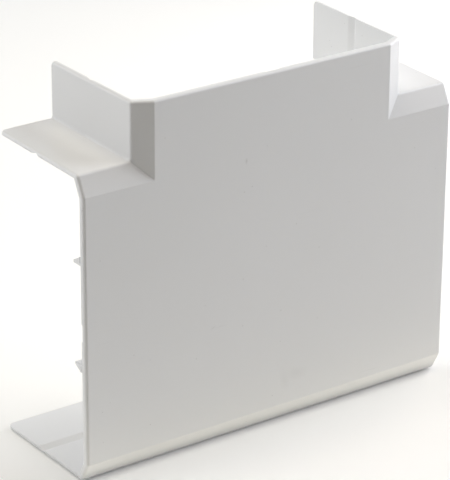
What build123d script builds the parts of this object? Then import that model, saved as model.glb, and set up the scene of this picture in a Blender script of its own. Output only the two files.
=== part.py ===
from build123d import *
from math import hypot, radians, tan
import os

# Flat tee cover for wall trunking: a one-piece moulded hood that slips over a straight
# run of trunking and over a branch that leaves it at a right angle.
# Millimetres. X runs along the straight run, Y points back to the wall, Z points up the
# branch. The origin is below the middle of the part, level with its lowest edge.

# Trunking that the hood covers
run_trunking = 130.0       # across the straight run
branch_trunking = 130.0    # across the branch
trunking_depth = 60.0      # from the wall to the trunking's front
slip_clearance = 0.2       # between trunking and hood, on each side
wall_gap = 0.6             # the rim stops this far short of the wall

# Moulded shell
wall = 1.8                 # side walls
panel = 2.6                # front panel and bevels
draft_angle = 0.5          # each side wall opens towards the wall by this angle
run_length = 184.0         # over both open ends of the run
branch_rise = 25.0         # from the top of the run to the open end of the branch

# Bevel round the front panel
bevel_face = 8.5           # measured across the front
bevel_depth = 4.4          # measured back from the front

# Rounds on the outside
front_edge_radius = 0.6    # between the front and a bevel
side_edge_radius = 1.5     # between a bevel and a side wall
inner_corner_radius = 1.0  # in the corner between the run and the branch
corner_radius = 2.5        # free corner of each side wall, at the rim
end_radius = 1.3           # edge round each open end

# Groove along the inner face of each side wall, which snaps over the trunking's bead
groove_setback = 24.4      # from the rim to the near edge of the groove
groove_width = 5.2
groove_depth = 1.0
groove_flank = 1.5         # steep flank on the panel side, measured along the depth
groove_radius = 1.2        # round on both edges and on the floor of the groove

# Snap hooks behind the panel, a pair at each open end
hook_gap = 44.0            # between the two hooks of a pair
hook_thickness = 1.2
hook_reach = 18.7          # from the inside of the panel to the hook's tip
hook_length = 12.0         # along the trunking
hook_inset = 8.5           # from the open end to the hook
barb_length = 4.2          # ramp of the barb, from the tip towards the panel
barb_width = 2.4           # how far the barb stands out sideways
hook_edge_radius = 0.3

# Shallow locating recess inside the panel, in the middle of each open end
recess_width = 7.5
recess_depth = 0.6
recess_length = 6.0

# Sizes that follow
depth = trunking_depth + panel - wall_gap
front = -depth / 2
run_width = run_trunking + 2 * slip_clearance + 2 * wall
branch_width = branch_trunking + 2 * slip_clearance + 2 * wall
flare = (depth - bevel_depth) * tan(radians(draft_angle))
axis_height = run_width / 2 + flare
top = axis_height + run_width / 2 + branch_rise
tolerance = 0.001          # for telling whether an edge lies in a plane

# Section planes at the open ends, facing outwards: local X goes across the trunking and
# local Y goes back to the wall
left_end = Plane(origin=(-run_length / 2, front, axis_height), x_dir=(0, 0, 1), z_dir=(-1, 0, 0))
right_end = Plane(origin=(run_length / 2, front, axis_height), x_dir=(0, 0, -1), z_dir=(1, 0, 0))
branch_end = Plane(origin=(0, front, top), x_dir=(1, 0, 0), z_dir=(0, 0, 1))
open_ends = (left_end, right_end, branch_end)


def hood_section(width):
    """Outer section of one hood: front, two bevels and two drafted sides."""
    half = width / 2
    with BuildSketch() as section:
        with BuildLine():
            Polyline(
                (0, 0),
                (half - bevel_face, 0),
                (half, bevel_depth),
                (half + flare, depth),
                (0, depth),
                close=True,
            )
        make_face()
        mirror(about=Plane.YZ)
    return section.sketch


def core_section(width):
    """Hollow of one hood, parallel to the outside, with the snap groove in each side."""
    half = width / 2
    slope = hypot(bevel_face, bevel_depth)
    panel_corner = half - bevel_face - panel * (slope - bevel_face) / bevel_depth
    wall_start = (panel * slope + bevel_depth * (bevel_face - wall)) / bevel_face

    def side(at_depth):
        return half - wall + (at_depth - bevel_depth) * tan(radians(draft_angle))

    groove_back = depth - groove_setback
    groove_front = groove_back - groove_width
    groove_floor = groove_front + groove_flank
    with BuildSketch() as section:
        with BuildLine():
            Polyline(
                (0, panel),
                (panel_corner, panel),
                (side(wall_start), wall_start),
                (side(groove_front), groove_front),
                (side(groove_floor) + groove_depth, groove_floor),
                (side(groove_back), groove_back),
                (side(depth), depth),
                (0, depth),
                close=True,
            )
        make_face()
        groove = section.vertices().filter_by_position(
            Axis.Y, groove_front - tolerance, groove_back + tolerance
        )
        fillet(groove, groove_radius)
        mirror(about=Plane.YZ)
    return section.sketch


def hook_section():
    """A pair of hooks seen along the trunking, with the barbs on their outer sides."""
    inner = hook_gap / 2
    outer = inner + hook_thickness
    tip = panel + hook_reach
    with BuildSketch() as section:
        with BuildLine():
            Polyline(
                (inner, panel / 2),
                (inner, tip),
                (outer, tip),
                (outer + barb_width, tip - barb_length),
                (outer, tip - barb_length),
                (outer, panel / 2),
                close=True,
            )
        make_face()
        fillet(section.vertices().group_by(Axis.Y)[-1], hook_edge_radius)
        mirror(about=Plane.YZ)
    return section.sketch


def on_open_end(edge):
    """True for an edge that lies in the plane of an open end."""
    return any(abs(end.to_local_coords(edge.center()).Z) < tolerance for end in open_ends)


def between_run_and_branch(edge):
    """True for the two outer edges where a side of the branch leaves the top of the run."""
    middle = edge.center()
    across = abs(middle.X) - branch_width / 2 - flare / 2
    above = middle.Z - axis_height - run_width / 2 - flare / 2
    return abs(across) < tolerance and abs(above) < tolerance


def edges_at_depth(nearest, farthest=None):
    """Edges of the hood whose middle lies at one depth behind the front, or between two."""
    farthest = nearest if farthest is None else farthest - 2 * tolerance
    low = front + nearest - tolerance
    high = front + farthest + tolerance
    return tee_cover.edges().filter_by_position(Axis.Y, low, high)


with BuildPart() as tee_cover:
    # Solid outside of the run and of the branch; their bevels meet in two mitres
    with BuildSketch(left_end):
        add(hood_section(run_width))
    extrude(amount=-run_length)
    with BuildSketch(branch_end):
        add(hood_section(branch_width))
    extrude(amount=axis_height - top)

    # Corner between the run and the branch, then the long edges on both sides of the bevels
    fillet(tee_cover.edges().filter_by(between_run_and_branch), inner_corner_radius)
    fillet(edges_at_depth(bevel_depth), side_edge_radius)
    fillet(edges_at_depth(0).filter_by(on_open_end, reverse=True), front_edge_radius)

    # Free corners of the side walls, then the outer edge round each open end
    fillet(edges_at_depth(depth).filter_by(on_open_end), corner_radius)
    fillet(edges_at_depth(0, depth - corner_radius).filter_by(on_open_end), end_radius)

    # Hollow, open at the back and at all three ends
    with BuildSketch(left_end):
        add(core_section(run_width))
    extrude(amount=-run_length, mode=Mode.SUBTRACT)
    with BuildSketch(branch_end):
        add(core_section(branch_width))
    extrude(amount=axis_height - top, mode=Mode.SUBTRACT)

    # Snap hooks and the locating recess, just inside each open end
    for end in open_ends:
        with BuildSketch(end.offset(-hook_inset)):
            add(hook_section())
        extrude(amount=-hook_length)
        with BuildSketch(end):
            with Locations((0, panel)):
                Rectangle(recess_width, 2 * recess_depth)
        extrude(amount=-recess_length, mode=Mode.SUBTRACT)

tee_cover.part.label = "tee_cover"
os.makedirs("parts", exist_ok=True)
export_step(tee_cover.part, "parts/tee_cover.step")
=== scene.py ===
from math import cos, radians, sin

import bmesh
import bpy
from mathutils import Matrix, Vector


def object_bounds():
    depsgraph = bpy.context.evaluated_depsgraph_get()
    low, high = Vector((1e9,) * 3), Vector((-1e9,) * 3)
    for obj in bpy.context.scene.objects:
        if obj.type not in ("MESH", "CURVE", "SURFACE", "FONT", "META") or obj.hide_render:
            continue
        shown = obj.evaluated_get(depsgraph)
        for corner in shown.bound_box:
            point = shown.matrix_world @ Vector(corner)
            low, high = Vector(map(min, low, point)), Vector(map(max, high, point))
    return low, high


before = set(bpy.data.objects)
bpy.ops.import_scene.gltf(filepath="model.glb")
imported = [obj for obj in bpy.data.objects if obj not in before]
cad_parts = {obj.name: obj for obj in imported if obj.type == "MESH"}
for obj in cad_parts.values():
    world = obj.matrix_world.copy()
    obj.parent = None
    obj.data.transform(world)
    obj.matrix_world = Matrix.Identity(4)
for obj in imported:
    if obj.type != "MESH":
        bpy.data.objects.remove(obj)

cad_low, cad_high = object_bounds()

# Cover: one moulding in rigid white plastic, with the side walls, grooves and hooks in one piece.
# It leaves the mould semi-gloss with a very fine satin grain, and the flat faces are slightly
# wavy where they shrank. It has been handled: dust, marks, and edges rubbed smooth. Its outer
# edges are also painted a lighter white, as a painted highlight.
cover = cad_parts["tee_cover"]


def new_effect(name, inputs, outputs):
    """A node group that reads the place on the surface and some numbers, and gives out numbers."""
    effect = bpy.data.node_groups.new(name, "ShaderNodeTree")
    effect.interface.new_socket("Place", in_out="INPUT", socket_type="NodeSocketVector")
    for socket, value in inputs.items():
        number = effect.interface.new_socket(socket, in_out="INPUT", socket_type="NodeSocketFloat")
        number.default_value = value
    for socket in outputs:
        effect.interface.new_socket(socket, in_out="OUTPUT", socket_type="NodeSocketFloat")
    return effect, effect.nodes.new("NodeGroupInput"), effect.nodes.new("NodeGroupOutput")


def add_node(tree, kind, inputs=None, **settings):
    """A node with its settings made, and each input set to a value or linked from a socket."""
    node = tree.nodes.new(kind)
    for setting, value in settings.items():
        setattr(node, setting, value)
    for socket, value in (inputs or {}).items():
        if isinstance(value, bpy.types.NodeSocket):
            tree.links.new(value, node.inputs[socket])
        else:
            node.inputs[socket].default_value = value
    return node


def work_out(tree, operation, *values):
    """The result socket of one sum on numbers or sockets."""
    node = add_node(tree, "ShaderNodeMath", dict(enumerate(values)), operation=operation)
    return node.outputs[0]


def noise(tree, place, scale, detail):
    """Cloudy noise from 0 to 1, with scale in features per metre."""
    node = add_node(tree, "ShaderNodeTexNoise", {"Vector": place, "Scale": scale, "Detail": detail})
    return node.outputs["Fac"]


def ramp(tree, value, start, end):
    """0 up to the start value and 1 from the end value on, with an even rise between them."""
    inputs = {"Value": value, "From Min": start, "From Max": end}
    return add_node(tree, "ShaderNodeMapRange", inputs).outputs[0]


# Satin grain of the mould and the long waves of shrinkage, as heights in metres
grain, given, result = new_effect(
    "moulded_surface",
    {"Grain per Metre": 2200.0, "Grain Depth": 0.000004, "Waves per Metre": 14.0, "Wave Depth": 0.00005},
    ["Height", "Cloud"],
)
fine = noise(grain, given.outputs["Place"], given.outputs["Grain per Metre"], detail=2.0)
slow = noise(grain, given.outputs["Place"], given.outputs["Waves per Metre"], detail=1.0)
fine_height = work_out(grain, "MULTIPLY", fine, given.outputs["Grain Depth"])
slow_height = work_out(grain, "MULTIPLY", slow, given.outputs["Wave Depth"])
grain.links.new(work_out(grain, "ADD", fine_height, slow_height), result.inputs["Height"])
grain.links.new(slow, result.inputs["Cloud"])

# Dust: small dots on a few of the points of a loose lattice
dust, given, result = new_effect(
    "dust", {"Points per Metre": 260.0, "Dot Size": 0.09, "Share": 0.14}, ["Mask"]
)
lattice = add_node(
    dust,
    "ShaderNodeTexVoronoi",
    {"Vector": given.outputs["Place"], "Scale": given.outputs["Points per Metre"]},
)
chance = add_node(dust, "ShaderNodeSeparateColor", {"Color": lattice.outputs["Color"]})
near = work_out(dust, "DIVIDE", lattice.outputs["Distance"], given.outputs["Dot Size"])
dot = work_out(dust, "MAXIMUM", work_out(dust, "SUBTRACT", 1.0, near), 0.0)
chosen = work_out(dust, "LESS_THAN", chance.outputs["Red"], given.outputs["Share"])
dust.links.new(work_out(dust, "MULTIPLY", dot, chosen), result.inputs["Mask"])

# Handling and highlight: hairline marks that run along the faces, and a mask of the outer edges,
# which paints them lighter as a painted highlight and makes their gloss smoother as rub. The marks
# are the crests of a stretched noise, and show only in patches. An edge is where the surface turns
# away from its own rounded copy.
handling_and_highlight, given, result = new_effect(
    "handling_and_highlight",
    {"Marks per Metre": 45.0, "Patches per Metre": 55.0, "Edge Width": 0.0009},
    ["Marks", "Edges"],
)
hairline_turn = (0.4, 0.2, 0.9)
hairline_squeeze = (1.0, 14.0, 30.0)
stretched = add_node(
    handling_and_highlight,
    "ShaderNodeMapping",
    {"Vector": given.outputs["Place"], "Rotation": hairline_turn, "Scale": hairline_squeeze},
)
streaks = noise(handling_and_highlight, stretched.outputs["Vector"], given.outputs["Marks per Metre"], detail=0.0)
patches = noise(handling_and_highlight, given.outputs["Place"], given.outputs["Patches per Metre"], detail=0.0)
hairlines = ramp(handling_and_highlight, streaks, start=0.78, end=0.84)
shown = ramp(handling_and_highlight, patches, start=0.60, end=0.68)
handling_and_highlight.links.new(work_out(handling_and_highlight, "MULTIPLY", hairlines, shown), result.inputs["Marks"])
rounded = add_node(handling_and_highlight, "ShaderNodeBevel", {"Radius": given.outputs["Edge Width"]}, samples=4)
surface_here = add_node(handling_and_highlight, "ShaderNodeNewGeometry")
likeness = add_node(
    handling_and_highlight,
    "ShaderNodeVectorMath",
    {0: rounded.outputs["Normal"], 1: surface_here.outputs["Normal"]},
    operation="DOT_PRODUCT",
)
edges = ramp(handling_and_highlight, likeness.outputs["Value"], start=0.995, end=0.86)
handling_and_highlight.links.new(edges, result.inputs["Edges"])

# Scuff: one soft oval mark in the skin of the front, at its own place and size. It slants up from
# level by an angle in radians.
scuff, given, result = new_effect(
    "scuff",
    {"Across": 0.0, "Up": 0.05, "Slant": 0.0, "Half Length": 0.002, "Half Width": 0.0005},
    ["Mask"],
)
front_face = cad_low[1]
skin = 0.001
centre = add_node(
    scuff,
    "ShaderNodeCombineXYZ",
    {"X": given.outputs["Across"], "Y": front_face, "Z": given.outputs["Up"]},
)
upward = work_out(scuff, "MULTIPLY", given.outputs["Slant"], -1.0)
slanted = add_node(scuff, "ShaderNodeCombineXYZ", {"Y": upward})
reach = add_node(
    scuff,
    "ShaderNodeCombineXYZ",
    {"X": given.outputs["Half Length"], "Y": skin, "Z": given.outputs["Half Width"]},
)
oval = add_node(
    scuff,
    "ShaderNodeMapping",
    {
        "Vector": given.outputs["Place"],
        "Location": centre.outputs[0],
        "Rotation": slanted.outputs[0],
        "Scale": reach.outputs[0],
    },
    vector_type="TEXTURE",
)
soft = add_node(scuff, "ShaderNodeTexGradient", {"Vector": oval.outputs[0]}, gradient_type="SPHERICAL")
scuff.links.new(soft.outputs["Fac"], result.inputs["Mask"])

white_plastic = bpy.data.materials.new("white_plastic")
white_plastic.use_nodes = True
plastic = white_plastic.node_tree
surface = plastic.nodes["Principled BSDF"]
surface.inputs["IOR"].default_value = 1.5
place = add_node(plastic, "ShaderNodeTexCoord").outputs["Object"]
moulded = add_node(plastic, "ShaderNodeGroup", {"Place": place}, node_tree=grain)
specks = add_node(plastic, "ShaderNodeGroup", {"Place": place}, node_tree=dust)
handled_and_highlit = add_node(plastic, "ShaderNodeGroup", {"Place": place}, node_tree=handling_and_highlight)


def add_scuff(strength, across, up, slant, half_length, half_width):
    """The mask of one scuff, from 0 to its strength, with its slant in degrees."""
    inputs = {
        "Place": place,
        "Across": across,
        "Up": up,
        "Slant": radians(slant),
        "Half Length": half_length,
        "Half Width": half_width,
    }
    node = add_node(plastic, "ShaderNodeGroup", inputs, node_tree=scuff)
    return work_out(plastic, "MULTIPLY", node.outputs["Mask"], strength)


def blend_colour(amount, first, second):
    """The colour between two colours or sockets."""
    inputs = {"Factor": amount, 6: first, 7: second}
    return add_node(plastic, "ShaderNodeMix", inputs, data_type="RGBA").outputs[2]


# The few single marks: a nick, a short scratch, and a smear low down on the right with a bend in it
nick = add_scuff(0.26, across=-0.0141, up=0.1241, slant=90, half_length=0.0017, half_width=0.0007)
scratch = add_scuff(0.12, across=-0.0301, up=0.0543, slant=24, half_length=0.0018, half_width=0.0006)
smear_side = add_scuff(0.1, across=0.0066, up=0.0203, slant=-80, half_length=0.0065, half_width=0.003)
smear_top = add_scuff(0.1, across=0.0128, up=0.0215, slant=-5, half_length=0.007, half_width=0.0035)

# Colour: two near whites in a slow cloud, then outer edges painted lighter as a painted highlight,
# greyish marks and brown dust
bright_white = (0.885, 0.885, 0.88, 1)
creamy_white = (0.865, 0.865, 0.855, 1)
# A lighter white for the outer edges: a painted highlight
highlight_white = (0.9, 0.9, 0.9, 1)
mark_grey = (0.55, 0.54, 0.52, 1)
dust_brown = (0.30, 0.28, 0.25, 1)
edge_highlight_strength, hairline_strength, speck_strength = 0.3, 0.07, 0.45
clean = blend_colour(moulded.outputs["Cloud"], bright_white, creamy_white)
# Painted highlight: the outer edges are blended toward the lighter white
painted_edge_highlight = work_out(plastic, "MULTIPLY", handled_and_highlit.outputs["Edges"], edge_highlight_strength)
highlighted = blend_colour(painted_edge_highlight, clean, highlight_white)
faint_hairlines = work_out(plastic, "MULTIPLY", handled_and_highlit.outputs["Marks"], hairline_strength)
smear = work_out(plastic, "MAXIMUM", smear_side, smear_top)
marked = blend_colour(work_out(plastic, "MAXIMUM", faint_hairlines, smear), highlighted, mark_grey)
faint_specks = work_out(plastic, "MULTIPLY", specks.outputs["Mask"], speck_strength)
cuts = work_out(plastic, "MAXIMUM", nick, scratch)
dusty = blend_colour(work_out(plastic, "MAXIMUM", faint_specks, cuts), marked, dust_brown)
plastic.links.new(dusty, surface.inputs["Base Color"])

# Gloss: a slow cloud, duller on the hairlines and smoother on the rubbed edges
moulded_rough, cloud_rough, hairline_rough, edge_rough = 0.31, 0.08, 0.2, -0.06
rough = work_out(plastic, "MULTIPLY_ADD", moulded.outputs["Cloud"], cloud_rough, moulded_rough)
rough = work_out(plastic, "MULTIPLY_ADD", handled_and_highlit.outputs["Marks"], hairline_rough, rough)
rough = work_out(plastic, "MULTIPLY_ADD", handled_and_highlit.outputs["Edges"], edge_rough, rough)
plastic.links.new(rough, surface.inputs["Roughness"])
relief = add_node(plastic, "ShaderNodeBump", {"Height": moulded.outputs["Height"], "Distance": 1.0})
plastic.links.new(relief.outputs["Normal"], surface.inputs["Normal"])
cover.data.materials.clear()
cover.data.materials.append(white_plastic)

# Camera: a long lens from the front left and above, a little over a metre away. Its place and
# slant were solved from the cover's own straight edges in the photograph.


def direction(azimuth, elevation):
    """The unit vector at an azimuth from the front round to the right, and a height, in degrees."""
    turn, lift = radians(azimuth), radians(elevation)
    return Vector((sin(turn) * cos(lift), -cos(turn) * cos(lift), sin(lift)))


aim = Vector((-0.0245, -0.031, 0.0921))
distance = 1.105
roll = radians(0.385)
back = direction(azimuth=-35.5, elevation=23.69)
level_right = Vector((0, 0, 1)).cross(back).normalized()
level_up = back.cross(level_right)
right = level_right * cos(roll) + level_up * sin(roll)
up = level_up * cos(roll) - level_right * sin(roll)
lens_place = aim + distance * back
lens = bpy.data.cameras.new("camera")
lens.lens = 205.0
lens.clip_start, lens.clip_end = 0.05, 50
camera = bpy.data.objects.new("camera", lens)
facing = Matrix((right, up, back)).transposed().to_4x4()
camera.matrix_world = Matrix.Translation(lens_place) @ facing
bpy.context.scene.collection.objects.link(camera)
bpy.context.scene.camera = camera
bpy.context.scene.view_settings.view_transform = "Standard"

# Floor: a wide sheet of plain matt white paper, the same all over. It throws light back up on the
# cover. In the photograph it is overexposed, so the lens sees all of it evenly a little brighter.
floor_reach = 6.0
gap_under_cover = 0.0002
floor_height = cad_low[2] - gap_under_cover
sheet = bmesh.new()
below = Matrix.Translation((0, 0, floor_height))
bmesh.ops.create_grid(sheet, x_segments=1, y_segments=1, size=floor_reach, matrix=below)
floor_shape = bpy.data.meshes.new("floor")
sheet.to_mesh(floor_shape)
sheet.free()
paper = bpy.data.objects.new("floor", floor_shape)
bpy.context.scene.collection.objects.link(paper)
white_paper = bpy.data.materials.new("white_paper")
white_paper.use_nodes = True
floor_shape.materials.append(white_paper)
paper_tree = white_paper.node_tree
matt = paper_tree.nodes["Principled BSDF"]
matt.inputs["Base Color"].default_value = (0.88, 0.87, 0.84, 1)
matt.inputs["Roughness"].default_value = 0.9
overexposure = add_node(paper_tree, "ShaderNodeEmission", {"Strength": 0.15})
brighter = add_node(paper_tree, "ShaderNodeAddShader", {0: matt.outputs[0], 1: overexposure.outputs[0]})
directly = add_node(paper_tree, "ShaderNodeLightPath").outputs["Is Camera Ray"]
seen = add_node(paper_tree, "ShaderNodeMixShader", {0: directly, 1: matt.outputs[0], 2: brighter.outputs[0]})
paper_tree.links.new(seen.outputs[0], paper_tree.nodes["Material Output"].inputs["Surface"])

# Room: dim grey where the camera looks past the paper, and dark otherwise, so that the softboxes
# alone shape the cover. The photograph's own view looks down on the paper and shows none of it.
room = bpy.data.worlds.new("room")
room.use_nodes = True
bpy.context.scene.world = room
room_tree = room.node_tree
dark = room_tree.nodes["Background"]
dark.inputs["Strength"].default_value = 0.0
dim = add_node(room_tree, "ShaderNodeBackground", {"Color": (0.4, 0.4, 0.4, 1), "Strength": 1.0})
directly = add_node(room_tree, "ShaderNodeLightPath").outputs["Is Camera Ray"]
around = add_node(room_tree, "ShaderNodeMixShader", {0: directly, 1: dark.outputs[0], 2: dim.outputs[0]})
room_tree.links.new(around.outputs[0], room_tree.nodes["World Output"].inputs["Surface"])

# Softboxes: each faces the cover from its own side. Their strengths and tints are fitted to the
# brightness of each face in the photograph. A strip in front of the cover, flat on the floor,
# stands for the bounce that lightens the lower bevel.
cover_middle = Vector((0, 0, 0.08))


def softbox(name, azimuth, elevation, distance, size, power, colour):
    """A square area light in one direction from the cover, turned to face it, in metres and watts."""
    away = direction(azimuth, elevation)
    box = bpy.data.lights.new(name, "AREA")
    box.size = size
    box.energy = power
    box.color = colour
    light = bpy.data.objects.new(name, box)
    light.location = cover_middle + distance * away
    light.rotation_euler = away.to_track_quat("Z", "Y").to_euler()
    light.visible_camera = False
    bpy.context.scene.collection.objects.link(light)


softbox("right_far", 75, 8, 4.0, 1.4, 42.9, (0.765, 0.87, 1.0))
softbox("right_high", 60, 30, 1.4, 0.7, 4.1, (1.0, 0.905, 0.92))
softbox("right_upper", 75, 45, 1.4, 0.7, 7.4, (0.83, 0.915, 1.0))
softbox("right_near", 105, 10, 0.55, 0.3, 1.08, (1.0, 0.91, 0.86))
softbox("right_back", 150, 8, 1.4, 0.7, 2.5, (0.81, 0.87, 1.0))
softbox("overhead", 0, 88, 1.4, 0.7, 5.0, (1.0, 0.9, 0.73))
softbox("left_high", -135, 75, 1.4, 0.7, 4.35, (1.0, 0.98, 0.97))
softbox("left_upper", -120, 40, 1.4, 0.7, 1.55, (1.0, 1.0, 0.9))
softbox("left", -120, 8, 1.5, 1.5, 9.8, (0.94, 0.925, 1.0))
softbox("left_back", -150, 8, 1.5, 1.5, 6.6, (0.87, 0.98, 1.0))

bounce = bpy.data.lights.new("bounce", "AREA")
bounce.shape = "RECTANGLE"
bounce.size, bounce.size_y = 0.30, 0.03
bounce.energy = 0.0095
bounce.color = (1.0, 0.94, 0.75)
strip = bpy.data.objects.new("bounce", bounce)
strip.location = (0, -0.045, 0.0005)
strip.rotation_euler = (radians(180), 0, 0)
strip.visible_camera = False
bpy.context.scene.collection.objects.link(strip)
